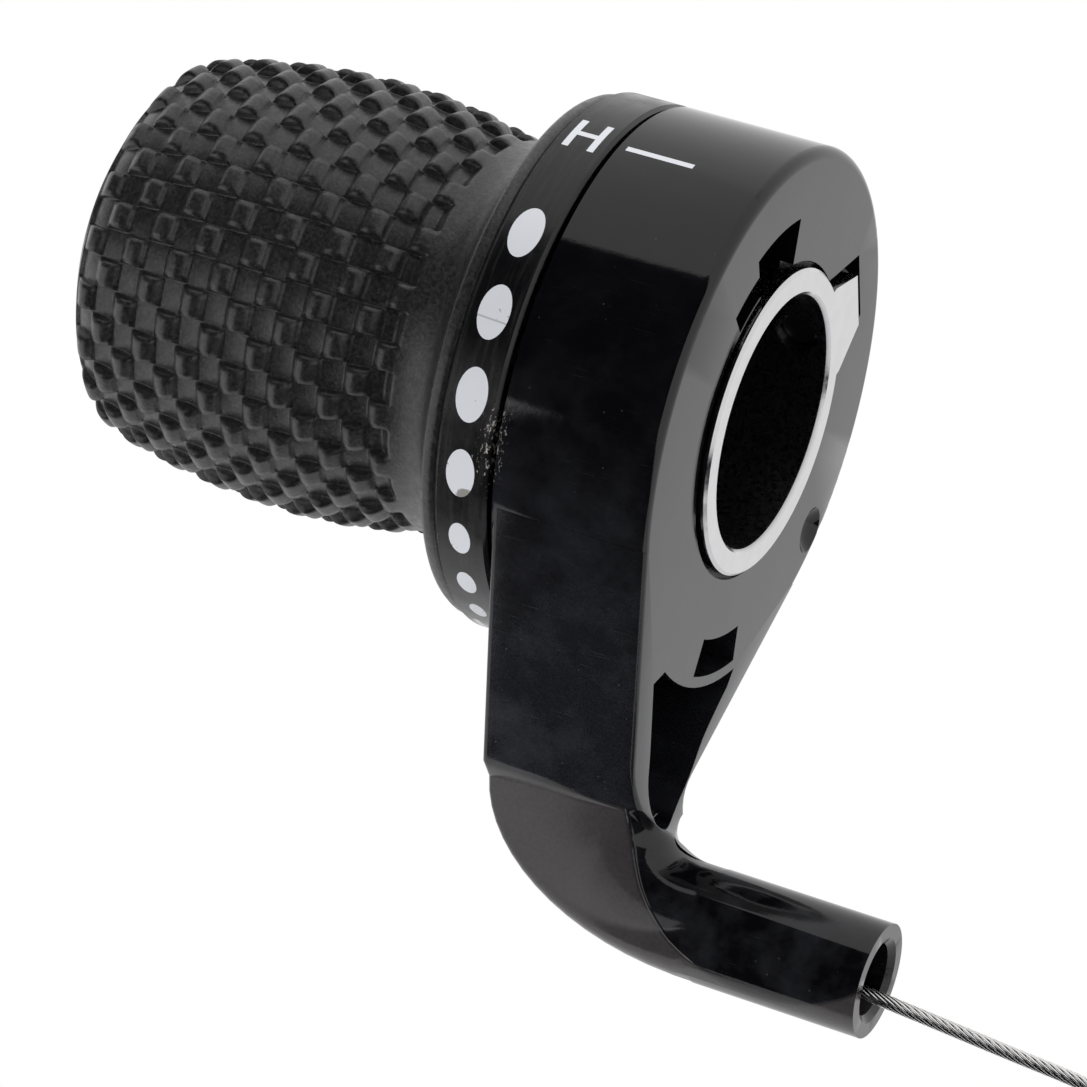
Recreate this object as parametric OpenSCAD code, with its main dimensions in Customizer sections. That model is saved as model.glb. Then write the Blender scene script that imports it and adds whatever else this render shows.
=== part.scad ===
// Left-hand twist-grip shifter for the front derailleur of a bicycle.
// The handlebar runs along X. +X points at the middle of the bar, -Z along the cable arm.
// The origin is on the bar's axis at the inboard face of the steel sleeve.
// Angles round the bar are measured from +Z towards -Y. All lengths are in millimetres.

/* [Handlebar] */
// Diameter of the handlebar
bar_d = 22.2; // [22:0.1:22.6]
// Slip of the sleeve on the bar, on the radius
bar_slip = 0.05; // [0.02:0.01:0.08]

/* [Clamp sleeve] */
// Wall of the sleeve's long thin tube
sleeve_wall = 1.15; // [1:0.05:1.3]
// How far the sleeve's head stands out from its tube
head_step = 1.15; // [0.9:0.05:1.5]
// Length of the sleeve's head
sleeve_head_l = 4.9; // [4.5:0.1:5.3]
// How far the sleeve stands proud of the housing's face
sleeve_proud = 0.7; // [0.4:0.1:1]
// How far the screw lug stands out from the head
lug_h = 3.65; // [3.2:0.05:4.1]
// Width of the lug's tip
lug_tip_w = 5.6; // [5:0.1:6]
// Width of the lug's root
lug_root_w = 9.4; // [8.6:0.1:10]
// Angle of the lug and its set screw
lug_a = -44.5; // [-48:0.5:-41]
// Diameter of the set screw
screw_d = 4; // [3:0.5:4]
// Length of the set screw
screw_l = 4.4; // [4:0.1:5]
// Hexagon socket of the set screw, across flats
screw_hex = 2; // [1.5:0.5:2]
// How far the backed-off screw stays short of the bore
screw_back = 0.6; // [0.4:0.1:1.2]

/* [Housing] */
// Length of the round body along the bar
body_l = 13.9; // [13.7:0.1:14.3]
// Thickness of the body's round wall
body_wall = 2.2; // [1.8:0.1:2.3]
// Thickness of the front wall outside the hub
front_wall = 2.5; // [2:0.1:3]
// Width of the moat between the hub and the round wall
hub_moat = 1.7; // [1.5:0.1:1.9]
// Rounding of the front edge
front_round = 1; // [0.6:0.1:1.3]
// Black groove round the sleeve's head, on the radius
sleeve_groove = 0.5; // [0.3:0.05:0.6]
// Depth of that groove
sleeve_groove_d = 1.2; // [0.8:0.1:1.8]
// Diameter of the shallow dimple in the face
dimple_d = 4.2; // [3.6:0.1:4.8]
// Distance of the dimple's middle from the body's edge
dimple_in = 2.9; // [2.6:0.1:3.2]

/* [Cable arm] */
// Distance from the bar's axis down to the cable tube's axis
tube_drop = 42; // [41.5:0.1:43]
// Outer radius of the cable tube
tube_r = 5; // [4.8:0.1:5.3]
// Distance of the tube's mouth in front of the sleeve's face
tube_end = 22.5; // [21:0.5:25]
// Radius of the socket for the outer casing
socket_r = 3.15; // [2.8:0.05:3.4]
// Depth of that socket
socket_l = 10; // [8:0.5:11]
// Angle between the arm's sides and its middle
arm_taper = 33.5; // [33:0.5:34.5]
// Radius of the inner corner between the arm and the tube
elbow_inner = 6.2; // [5.8:0.1:6.6]
// Reach of the arm's swept back along the tube
elbow_reach = 22.4; // [21.5:0.1:23.5]
// Height of the arm's swept back
elbow_rise = 12.8; // [12:0.1:13.4]
// Depth of the tapered pocket in the arm
pocket_d = 6.6; // [5:0.1:6.8]
// How far the pocket's curved top edge runs inside the body's edge
pocket_in = 0.25; // [0.1:0.05:0.5]
// Height of the pocket's round foot over the cable tube's axis
pocket_rise = 8.8; // [8.6:0.1:9.4]

/* [Wire] */
// Diameter of the inner wire
wire_d = 1.2; // [1.1:0.1:1.2]
// Wall of the drum under the wire
floor_wall = 1.27; // [1.1:0.01:1.4]
// Bend radius of the wire in the arm
wire_bend = 9; // [8.5:0.1:9.3]
// Wall of the wire's guide liner
guide_wall = 0.55; // [0.45:0.05:0.6]
// Length of the wire's end fitting
nipple_l = 4; // [3.6:0.1:4.4]
// Diameter of the wire's end fitting
nipple_d = 3.8; // [3.4:0.1:4]

/* [Drum and click] */
// Width of the drum's groove
groove_w = 1.6; // [1.5:0.05:1.8]
// Height of the drum's flanges over the middle of the wire
flange_h = 2.7; // [2.4:0.1:2.9]
// Number of click teeth
click_teeth = 72; // [60:1:90]
// Height of the click teeth's tips over the flanges
tooth_h = 1.3; // [1.1:0.1:1.5]
// Depth of the click teeth
click_depth = 0.6; // [0.4:0.1:0.7]
// Room for the click spring between the teeth and the housing's wall
spring_room = 3.2; // [3:0.1:3.4]
// Thickness of the click spring's strip
spring_t = 0.35; // [0.3:0.05:0.4]
// Width of the click spring
spring_w = 2.2; // [1.8:0.1:2.4]

/* [Twist tube] */
// Running clearance of the turning parts on the sleeve
run_gap = 0.08; // [0.06:0.01:0.1]
// Wall of the twist tube under the rubber
tube_wall = 2.12; // [2:0.01:2.3]
// Gap between the housing and the dial ring
dial_gap = 0.6; // [0.4:0.1:0.8]
// Width of the dial ring
dial_w = 4.9; // [4.6:0.1:5.2]
// Angle of the pointer and of the H at rest
pointer_a = 39.5; // [38:0.5:41]
// Angle from H to L, the twist of the grip
twist = 132; // [120:1:135]
// Length of the largest oval mark, round the ring
oval_l = 4.7; // [4.2:0.1:5.2]
// Width of the largest oval mark, along the bar
oval_w = 2.8; // [2.4:0.1:3.2]
// Depth of the printed marks' inlay
mark_t = 0.12; // [0.1:0.01:0.16]

/* [Rubber grip] */
// Length of the rubber behind the dial ring
grip_l = 39.8; // [38:0.1:44]
// Thickness of the rubber over the ridges at its thickest
rubber_t = 4.9; // [4.5:0.1:5.2]
// Thickness of the rubber at the waist beside the dial ring
waist_t = 3; // [2.7:0.1:3.3]
// Thickness of the rubber over the ridges at the far end
tail_t = 2.2; // [1.9:0.1:2.6]
// Rounding of the far end
tail_round = 3.2; // [2.6:0.1:3.8]
// How far the rubber's lip lies below the dial ring
lip_step = 0.5; // [0.3:0.1:0.9]
// Length of the smooth collar between the lip and the weave
collar_l = 7.2; // [6.6:0.1:7.8]
// Number of woven strips round the grip
strips = 42; // [38:2:46]
// Number of ridges along a strip
ridges = 7; // [6:1:8]
// Height of the weave from low to crest
weave_h = 1; // [0.6:0.1:1.3]

/* [Outboard end] */
// Length of the sleeve behind the rubber's end
sleeve_tail = 1.1; // [0.9:0.1:1.6]
// Thickness of the retaining ring
clip_t = 0.7; // [0.6:0.05:0.8]
// Thickness of the end washer
washer_t = 0.6; // [0.5:0.1:0.8]
// Height of the wave washer
wave_h = 1; // [0.8:0.1:1.2]

/* [Cable coil] */
// Radius of the coil to the middle of its turns
coil_r = 15; // [14:0.5:17]
// Radius of the bundle of turns
bundle_r = 3.4; // [3.2:0.1:3.6]
// Length of the crimped cap on the wire's end
cap_l = 8; // [6:0.5:10]

/* [Hidden] */
fine = 96;
small = 48;
thin = 720;
// Clearance of pieces that seat on each other
slip = 0.05;

// Radii from the bar outwards
bore_r = bar_d / 2 + bar_slip;
sleeve_r = bore_r + sleeve_wall;
sleeve_head_r = sleeve_r + head_step;
lug_r = sleeve_head_r + lug_h;
turn_r = sleeve_r + run_gap;
core_r = turn_r + tube_wall;
floor_r = turn_r + floor_wall;
wire_r = wire_d / 2;
wind_r = floor_r + slip + wire_r;
drum_r = wind_r + flange_h;
click_r = drum_r + tooth_h;
cavity_r = click_r + spring_room;
hub_r = cavity_r - hub_moat;
body_r = cavity_r + body_wall;
dial_r = body_r;
lip_r = dial_r - lip_step;
grip_r = core_r + rubber_t;
waist_r = core_r + waist_t;
tail_r = core_r + tail_t;

// Sleeve and housing, places along the bar
face_x = -sleeve_proud;
rear_x = face_x - body_l;
hub_x = face_x - sleeve_head_l;
head_x = hub_x;
cavity_x = face_x - front_wall;
lug_gap = 0.6;
lug_room = 1.9;
screw_x = head_x / 2 - 0.3;
key_hole_d = screw_d - 0.6;
hub_cut_x = hub_x - 0.5;
// Windows in the face beside the sleeve: [inner and outer edge over the head, start and end angle]
face_windows = [[-0.3, 4.55, 20, 47], [0.7, 2.85, 46, 63.5]];
// Window into the moat: [inner and outer edge inside the body's edge, start and end angle]
moat_window = [4.5, 1.2, 181, 204];
dimple_a = -113;
dimple_lift = 1.55;

// Turning parts
friction_t = 0.3;
friction_w = 4;
drum_x1 = head_x - friction_t - 2 * slip;
dial_x1 = rear_x - dial_gap;
dial_x0 = dial_x1 - dial_w;
drum_x0 = dial_x1 + 1.2;
groove_x = drum_x0 + 4.3;
dial_wall = 1.9;
dial_web = 1.3;
click_x0 = drum_x0 + 0.5;
click_l = spring_w + 0.2;
dog_r1 = turn_r + 0.62;
dog_r2 = core_r + 0.9;
dog_arc = 24;
dog_l = 1.9;
dog_angles = [80, 200, 320];

// Outboard end
grip_x0 = dial_x0 - grip_l;
sleeve_x0 = grip_x0 - sleeve_tail;
clip_land = 0.7;
clip_x1 = sleeve_x0 + clip_land + clip_t;
clip_r = sleeve_r - 0.4;
washer_x1 = clip_x1 + washer_t;
wave_x1 = washer_x1 + wave_h;
tube_x0 = wave_x1 + slip;
end_r = core_r - 0.15;

// Wire in the arm: tangent to the drum, bent into the tube
wire_lean = asin(wind_r / tube_drop);
wire_rise = sqrt(tube_drop * tube_drop - wind_r * wind_r);
lead_top = wire_rise - 7;
guide_r = wire_r + 0.12;
guide_top = wire_rise - sqrt(cavity_r * cavity_r - wind_r * wind_r) - 0.3;
channel_over = 3;
socket_x = tube_end - socket_l;
wrap_a0 = -90 - wire_lean;
wrap_a1 = wrap_a0 + twist + 16;
nipple_r = turn_r + 0.45 + nipple_d / 2;

// Oval marks: angle from the pointer at rest, share of the largest oval
ovals = [[27.5, 1], [45, 1], [62, 1], [78.7, 0.93], [94.5, 0.71], [108, 0.63], [119.5, 0.53]];
oval_sides = 32;
letter_l = 4.1;
letter_w = 2.9;
stroke = 0.6;
pointer_l = 6.1;
pointer_x = rear_x + 0.7;

// Coil of the spare wire, its tie and its cap
coil_x = 47;
coil_z = -68;
tie_a = 165;
tie_arc = 18;
tie_t = 0.7;
cap_r = 0.95;
cap_x = coil_x - 7;
cap_drop = 0.6;

// Route of the free wire: places along X and Z, chosen by hand, in the plane of the tube's axis
free_route = [[socket_x, -tube_drop], [15, -42.2], [18.5, -42.8], [22.5, -43.3], [28, -43.7], [35, -44.2],
    [42, -44.7], [47, -45.6], [52, -47.6], [56, -50.6], [59, -54.4], [60.6, -57.6]];

// A point round the bar: radius and angle from +Z towards -Y
function ring_point(r, a) = [-r * sin(a), r * cos(a)];

// Arc of points round the bar
function ring_arc(r, a0, a1, n) = [for (i = [0:n]) ring_point(r, a0 + (a1 - a0) * i / n)];

// Turns a profile of [radius, x] points round the bar's axis
module turned(n = fine) {
    rotate([0, 90, 0]) rotate_extrude($fn = n) children();
}

// Cylinder along the bar's axis
module barrel(r, x0, x1, n = fine) {
    translate([x0, 0, 0]) rotate([0, 90, 0]) cylinder(r = r, h = x1 - x0, $fn = n);
}

// Extrudes a sketch in Y and Z along the bar
module along_bar(x0, x1) {
    translate([x0, 0, 0]) rotate([90, 0, 90]) linear_extrude(x1 - x0) children();
}

// Puts children, drawn at the top of the ring with the radius up Z, at an angle round the bar
module at_angle(a) {
    rotate([a, 0, 0]) children();
}

// Sector of a ring as a sketch
module sector(r1, r2, a0, a1, n = 12) {
    polygon(concat(ring_arc(r1, a0, a1, n), ring_arc(r2, a1, a0, n)));
}

// Frame of the wire in the arm: its own Z runs up the wire, its origin is the bend's corner
module wire_frame() {
    translate([0, 0, -tube_drop]) rotate([-wire_lean, 0, 0]) children();
}

// The wire's path in the arm with the section given as a sketch
module wire_path(top, x1) {
    wire_frame() {
        translate([groove_x, 0, wire_bend]) linear_extrude(top - wire_bend) children();
        translate([groove_x + wire_bend, 0, wire_bend])
            rotate([90, 180, 0]) rotate_extrude(angle = 90, $fn = fine) translate([wire_bend, 0]) children();
        translate([groove_x + wire_bend, 0, 0])
            rotate([0, 90, 0]) linear_extrude(x1 - groove_x - wire_bend) children();
    }
}

// Half width of the arm's flat sides at a height, a touch outside the body's round wall
side_out = 0.03;
function side_line(z) = (body_r + side_out + z * sin(arm_taper)) / cos(arm_taper);

// The front curves into the tube above the crease where the flat sides end and the back starts to sweep
arm_top = -body_r * sin(arm_taper);
inner_top = -tube_drop + tube_r + elbow_inner;
crease_z = -tube_drop - tube_r + elbow_rise;
crease_a = asin((inner_top - crease_z) / elbow_inner);
crease_half = side_line(crease_z);
arm_join_x = max(face_x + elbow_inner, rear_x + elbow_reach) + 0.5;
front_steps = 5;
elbow_steps = 16;
corner_steps = 6;
// How much narrower the elbow's back is than the tube
keel = 1.6;
// Rounding of the arm's rear edges, and the share of the elbow over which its front grows round
rear_round = 0.5;
front_share = 0.6;
// How far the skin's end lies inside the tube that it joins
skin_in = 0.05;
function arm_inner(a) = [face_x + elbow_inner * (1 - cos(a)), inner_top - elbow_inner * sin(a)];
function arm_outer(a) = [rear_x + elbow_reach * (1 - cos(a)), crease_z - elbow_rise * sin(a)];
// Sections of the arm: inner and outer place, inner and outer half width, inner and outer roundness
arm_sections = concat(
    [[[face_x, arm_top], [rear_x, arm_top], side_line(arm_top), side_line(arm_top), 0, 0]],
    [for (i = [0:front_steps]) let (p = arm_inner(crease_a * i / front_steps))
        [p, [rear_x, p[1]], side_line(p[1]), side_line(p[1]), 0, 0]],
    [for (i = [1:elbow_steps]) let (t = i / elbow_steps)
        [arm_inner(crease_a + (90 - crease_a) * t), arm_outer(90 * t),
         tube_r + (crease_half - tube_r) * pow(1 - t, 2), tube_r - keel * sin(45 + 135 * t),
         sin(90 * min(1, t / front_share)), pow(t, 1.5)]],
    [[[arm_join_x, -tube_drop + tube_r], [arm_join_x, -tube_drop - tube_r], tube_r, tube_r, 1, 1]]);

// One rounded section of the arm as a ring of points
function corner_points(u, v, r, a0, a1) = [for (k = [0:corner_steps])
    let (a = a0 + (a1 - a0) * k / corner_steps) [u + r * cos(a), v + r * sin(a)]];
function arm_ring(s) = let (
        mid = (s[0] + s[1]) / 2,
        run = s[1] - s[0],
        dir = run / norm(run),
        less = skin_in * s[5],
        half = norm(run) / 2 - less,
        wide = [s[2] - less, s[3] - less],
        rf = front_round + (min(half, wide[0]) - 2 * less - front_round) * s[4],
        rr = rear_round + (min(half, wide[1]) - 2 * less - rear_round) * s[5],
        tilt = atan2(wide[0] - wide[1], 2 * half),
        off = wide[0] * cos(tilt) - half * sin(tilt),
        uf = rf - half,
        ur = half - rr,
        side = concat(
            corner_points(ur, (off - rr - ur * sin(tilt)) / cos(tilt), rr, 0, 90 - tilt),
            corner_points(uf, (off - rf - uf * sin(tilt)) / cos(tilt), rf, 90 - tilt, 180)),
        last = len(side) - 1,
        flat = concat(side, [for (k = [last:-1:0]) [side[k][0], -side[k][1]]]))
    [for (p = flat) [mid[0] + dir[0] * p[0], -p[1], mid[1] + dir[1] * p[0]]];

// Skin over rings of equal count, closed with flat ends
module skin(rings) {
    n = len(rings[0]);
    m = len(rings);
    polyhedron(
        points = [for (r = rings) for (p = r) p],
        faces = concat(
            [for (i = [0:m - 2]) for (j = [0:n - 1]) let (k = (j + 1) % n)
                [i * n + j, i * n + k, (i + 1) * n + k]],
            [for (i = [0:m - 2]) for (j = [0:n - 1]) let (k = (j + 1) % n)
                [i * n + j, (i + 1) * n + k, (i + 1) * n + j]],
            [[for (j = [n - 1:-1:0]) j], [for (j = [0:n - 1]) (m - 1) * n + j]]),
        convexity = 6);
}

module arm_skin() {
    skin([for (s = arm_sections) arm_ring(s)]);
}

// Outline of the lug of the sleeve, or of the room round it
module lug_sketch(gap, room) {
    polygon([for (p = [[-lug_root_w / 2 - gap, bore_r + 1], [-lug_root_w / 2 - gap, sleeve_head_r - 0.6],
                       [-lug_tip_w / 2 - gap, lug_r + room], [lug_tip_w / 2 + gap, lug_r + room],
                       [lug_root_w / 2 + gap, sleeve_head_r - 0.6], [lug_root_w / 2 + gap, bore_r + 1]])
        let (c = cos(lug_a), s = sin(lug_a)) [p[0] * c - p[1] * s, p[0] * s + p[1] * c]]);
}

// Tapered pocket in the arm's face: curved top edge, sides along the arm, round lower end
pocket_r = body_r - pocket_in;
pocket_foot = pocket_rise - tube_drop;
// Edge of the pocket round its foot: [place across the arm, share of the way from the top edge to the foot]
pocket_edge = [[-8.7, 0.015], [-5.4, 0.5], [-3.6, 0.79], [-3.1, 1], [-3.1, 1.11], [-2.7, 1.19], [-1.6, 1.225],
    [0, 1.2], [2.2, 1.12], [4.9, 0.97], [6.7, 0.78], [7.3, 0.44], [8.8, 0.1], [9.6, -0.05]];
pocket_arc = [205, 163];
pocket_over = 8;
module pocket_sketch() {
    polygon(concat(
        [for (p = finer(finer(pocket_edge))) [p[0], -pocket_r + (pocket_foot + pocket_r) * p[1]]],
        ring_arc(pocket_r, pocket_arc[0], pocket_arc[1], 12)));
}

// Cuts in the front face
module face_cuts() {
    for (w = face_windows) along_bar(hub_cut_x, 1)
        sector(sleeve_head_r + w[0], sleeve_head_r + w[1], w[2], w[3]);
    along_bar(hub_cut_x, 1)
        sector(body_r - moat_window[0], body_r - moat_window[1], moat_window[2], moat_window[3]);
    along_bar(face_x - pocket_d, pocket_over) pocket_sketch();
    along_bar(hub_cut_x, 1) lug_sketch(lug_gap, lug_room);
    barrel(sleeve_head_r + sleeve_groove, face_x - sleeve_groove_d, 1);
    at_angle(dimple_a) translate([face_x + dimple_lift, 0, body_r - dimple_in])
        sphere(r = sqrt(pow(dimple_d / 2, 2) + pow(dimple_lift, 2)), $fn = small);
}

module housing() {
    color("#17171a") {
        housing_shell();
        spring_ribs();
    }
}

module housing_shell() {
    difference() {
        union() {
            turned() {
                difference() {
                    translate([0, rear_x]) square([body_r, body_l]);
                    translate([body_r - front_round, face_x - front_round]) difference() {
                        square([front_round + 1, front_round + 1]);
                        circle(r = front_round, $fn = small);
                    }
                }
            }
            arm_skin();
            translate([arm_join_x - 1, 0, -tube_drop]) rotate([0, 90, 0])
                cylinder(r = tube_r, h = tube_end - arm_join_x + 1, $fn = fine);
        }
        // Cavity for the drum, with the hub left standing
        turned() polygon([[0, rear_x - 1], [cavity_r, rear_x - 1], [cavity_r, cavity_x], [hub_r, cavity_x],
            [hub_r, hub_x], [0, hub_x]]);
        barrel(sleeve_head_r, rear_x, 1);
        face_cuts();
        // Key hole over the set screw
        at_angle(lug_a) translate([screw_x, 0, lug_r]) cylinder(d = key_hole_d, h = body_r, $fn = small);
        // Wire channel and the socket for the outer casing
        wire_path(guide_top + channel_over, socket_x + 1) circle(r = guide_r + guide_wall, $fn = small);
        translate([socket_x, 0, -tube_drop]) rotate([0, 90, 0])
            cylinder(r = socket_r, h = socket_l + 1, $fn = small);
        translate([tube_end - 0.5, 0, -tube_drop]) rotate([0, 90, 0])
            cylinder(r1 = socket_r, r2 = socket_r + 0.6, h = 0.51, $fn = small);
        pointer_shape();
    }
}

// Ribs that stop the click spring from turning
module spring_ribs() {
    for (side = [-1, 1]) at_angle(spring_a + side * rib_a)
        translate([click_x0, -0.6, click_r + 0.5]) cube([click_l, 1.2, cavity_r - click_r]);
}

spring_a = 10;
leaf_drop = 1.85;
nose_w = 2.2;
nose_tip = 0.4;
bend = 0.2;
leaf_z = cavity_r - leaf_drop;
leaf_half = sqrt(cavity_r * cavity_r - pow(leaf_z + spring_t, 2)) - slip;
rib_a = asin((leaf_half + 0.75) / cavity_r);

// Printed pointer line, inlaid in the housing's side
module pointer_shape() {
    intersection() {
        at_angle(pointer_a) translate([pointer_x, -stroke / 2, body_r - 1]) cube([pointer_l, stroke, 2]);
        turned(thin) translate([body_r - mark_t, rear_x]) square([mark_t, body_l]);
    }
}

module pointer_mark() {
    color("white") pointer_shape();
}

module clamp_sleeve() {
    color("silver") difference() {
        union() {
            turned() polygon([[bore_r + 0.3, 0], [sleeve_head_r - 0.25, 0], [sleeve_head_r, -0.25],
                [sleeve_head_r, head_x], [sleeve_r, head_x], [sleeve_r, clip_x1], [clip_r, clip_x1],
                [clip_r, clip_x1 - clip_t - slip], [sleeve_r, clip_x1 - clip_t - slip],
                [sleeve_r, sleeve_x0 + 0.2], [sleeve_r - 0.2, sleeve_x0],
                [bore_r, sleeve_x0], [bore_r, -0.3]]);
            difference() {
                along_bar(head_x, 0) lug_sketch(0, 0);
                barrel(bore_r + 0.5, head_x - 1, 1);
            }
        }
        at_angle(lug_a) translate([screw_x, 0, 0]) cylinder(d = screw_d, h = 2 * lug_r, $fn = small);
    }
}

module clamp_screw() {
    color("dimgray") at_angle(lug_a) translate([screw_x, 0, bore_r + screw_back]) difference() {
        union() {
            cylinder(d1 = screw_d - 1, d2 = screw_d, h = 0.5, $fn = small);
            translate([0, 0, 0.5]) cylinder(d = screw_d, h = screw_l - 0.5, $fn = small);
        }
        translate([0, 0, screw_l - 2]) cylinder(d = screw_hex / cos(30), h = 3, $fn = 6);
    }
}

module friction_washer() {
    color("gainsboro") turned()
        translate([turn_r, head_x - slip - friction_t]) square([friction_w, friction_t]);
}

// Leaf with a nose, sprung between the ribs against the cavity's wall
module click_spring() {
    nose = leaf_z - click_r - 0.25;
    top = leaf_z + spring_t;
    color("lightsteelblue") at_angle(spring_a) along_bar(click_x0 + 0.1, click_x0 + 0.1 + spring_w)
        polygon([[-leaf_half, leaf_z], [-nose_w, leaf_z], [-nose_tip, leaf_z - nose], [nose_tip, leaf_z - nose],
            [nose_w, leaf_z], [leaf_half, leaf_z], [leaf_half, top], [nose_w - bend, top],
            [nose_tip - bend, top - nose], [bend - nose_tip, top - nose], [bend - nose_w, top],
            [-leaf_half, top]]);
}

module wire_guide() {
    color("ivory") wire_path(guide_top, socket_x) difference() {
        circle(r = guide_r + guide_wall, $fn = small);
        circle(r = guide_r, $fn = small);
    }
}

// Ring of spring strip with three waves
module wave_washer() {
    n = 72;
    t = 0.3;
    r1 = sleeve_r + 0.15;
    color("lightsteelblue") polyhedron(
        points = [for (i = [0:n - 1]) let (a = 360 * i / n,
                x = washer_x1 + slip / 2 + (wave_h - slip - t) * (1 - cos(3 * a)) / 2)
            for (p = [[r1, x], [end_r, x], [end_r, x + t], [r1, x + t]]) [p[1], p[0] * cos(a), p[0] * sin(a)]],
        faces = [for (i = [0:n - 1]) let (j = (i + 1) % n) for (k = [0:3]) let (l = (k + 1) % 4)
            for (f = [[i * 4 + k, j * 4 + l, j * 4 + k], [i * 4 + k, i * 4 + l, j * 4 + l]]) f],
        convexity = 6);
}

module end_washer() {
    color("silver") turned() translate([sleeve_r + slip, clip_x1]) square([end_r - sleeve_r - slip, washer_t]);
}

// Open snap ring with two ears, in the sleeve's groove
module retaining_ring() {
    ring_w = 1.5;
    ear_a = 30;
    color("slategray") difference() {
        union() {
            difference() {
                barrel(clip_r + ring_w, clip_x1 - clip_t, clip_x1);
                along_bar(clip_x1 - clip_t - 1, clip_x1 + 1)
                    polygon([[0, 0], ring_point(20, ear_a), ring_point(20, -ear_a)]);
            }
            for (a = [-ear_a, ear_a]) at_angle(a) translate([clip_x1 - clip_t, 0, clip_r + ring_w - 0.3])
                rotate([0, 90, 0]) cylinder(r = 1.1, h = clip_t, $fn = small);
        }
        for (a = [-ear_a, ear_a]) at_angle(a) translate([clip_x1 - clip_t - 1, 0, clip_r + ring_w - 0.1])
            rotate([0, 90, 0]) cylinder(r = 0.4, h = 4, $fn = small);
        barrel(clip_r, clip_x1 - clip_t - 1, clip_x1 + 1);
    }
}

// Wire from the drum, through the liner, to the socket's floor
module cable_lead() {
    color("lightgray") wire_path(lead_top, socket_x) circle(r = wire_r, $fn = small);
}

// Tube of eight sides swept along points in the plane of X and Z
function sweep_ring(p, d, r) = [for (k = [0:7]) let (a = 45 * k)
    [p[0] - d[1] * r * cos(a), r * sin(a), p[1] + d[0] * r * cos(a)]];
function unit(v) = v / norm(v);
function path_dir(p, i) = i == 0 ? unit(p[1] - p[0]) : i == len(p) - 1 ? unit(p[i] - p[i - 1])
    : unit(unit(p[i] - p[i - 1]) + unit(p[i + 1] - p[i]));
function finer(p) = [for (i = [0:len(p) - 1]) each i == len(p) - 1 ? [p[i]] : [p[i],
    (9 * (p[i] + p[i + 1]) - p[max(i - 1, 0)] - p[min(i + 2, len(p) - 1)]) / 16]];

module cable_free() {
    route = finer(free_route);
    color("lightgray") skin([for (i = [0:len(route) - 1])
        i == 0 ? sweep_ring(route[0], [1, 0], wire_r) : sweep_ring(route[i], path_dir(route, i), wire_r)]);
}

module cable_coil() {
    color("lightgray") translate([coil_x, 0, coil_z]) rotate([90, 0, 0])
        rotate_extrude($fn = fine) translate([coil_r, 0]) circle(r = bundle_r, $fn = small);
}

module coil_tie() {
    color("black") translate([coil_x, 0, coil_z]) rotate([90, tie_a, 0])
        rotate_extrude(angle = tie_arc, $fn = fine) translate([coil_r, 0]) difference() {
            circle(r = bundle_r + tie_t, $fn = small);
            circle(r = bundle_r, $fn = small);
        }
}

// Crimped cap on the wire's free end, which leaves the coil at its foot
module cable_cap() {
    color("silver") translate([cap_x, 0, coil_z - coil_r - cap_drop]) rotate([0, -90, 0])
        cylinder(r = cap_r, h = cap_l, $fn = small);
}

module dogs(gap) {
    for (a = dog_angles) along_bar(drum_x0 - 0.2, drum_x0 + dog_l + gap)
        sector(dog_r1 - gap, dog_r2 + gap, a - dog_arc / 2 - 2 * gap, a + dog_arc / 2 + 2 * gap);
}

// One moulding: the tube, the dial ring on its web, and the driving dogs
module twist_tube() {
    color("#1c1c1f") difference() {
        union() {
            turned() polygon([[turn_r, tube_x0], [core_r, tube_x0], [core_r, dial_x0], [dial_r - 0.4, dial_x0],
                [dial_r, dial_x0 + 0.4], [dial_r, dial_x1 - 0.3], [dial_r - 0.3, dial_x1],
                [dial_r - dial_wall, dial_x1], [dial_r - dial_wall, dial_x0 + dial_wall],
                [core_r + dial_web, dial_x0 + dial_wall], [core_r + dial_web, drum_x0 - slip],
                [turn_r, drum_x0 - slip]]);
            dogs(0);
        }
        mark_shapes();
    }
}

// An oval through the ring's skin
module oval(l, w) {
    translate([0, 0, dial_r - 1]) linear_extrude(2)
        polygon([for (i = [1:oval_sides]) let (a = 360 * i / oval_sides) [w * cos(a), l * sin(a)] / 2]);
}

// One bar of a letter whose legs run round the ring
module bar_mark(x, y, wx, wy) {
    translate([x - wx / 2, y - wy / 2, dial_r - 1]) cube([wx, wy, 2]);
}

// The ovals, the H at the pointer and the L at the far end of the twist, within the ring's skin
module mark_shapes() {
    mid_x = (dial_x0 + dial_x1) / 2;
    intersection() {
        turned(thin) translate([dial_r - mark_t, dial_x0]) square([mark_t, dial_w]);
        union() {
            for (o = ovals) at_angle(pointer_a + o[0]) translate([mid_x, 0, 0])
                oval(oval_l * o[1], oval_w * o[1]);
            at_angle(pointer_a - 0.8) translate([mid_x, 0, 0]) {
                for (s = [-1, 1]) bar_mark(s * (letter_w - stroke) / 2, 0, stroke, letter_l);
                bar_mark(0, 0, letter_w - stroke, stroke);
            }
            at_angle(pointer_a + twist) translate([mid_x, 0, 0]) {
                bar_mark(-(letter_w - stroke) / 2, 0, stroke, letter_l);
                bar_mark(0, -(letter_l - stroke) / 2, letter_w, stroke);
            }
        }
    }
}

module dial_marks() {
    color("white") mark_shapes();
}

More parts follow.
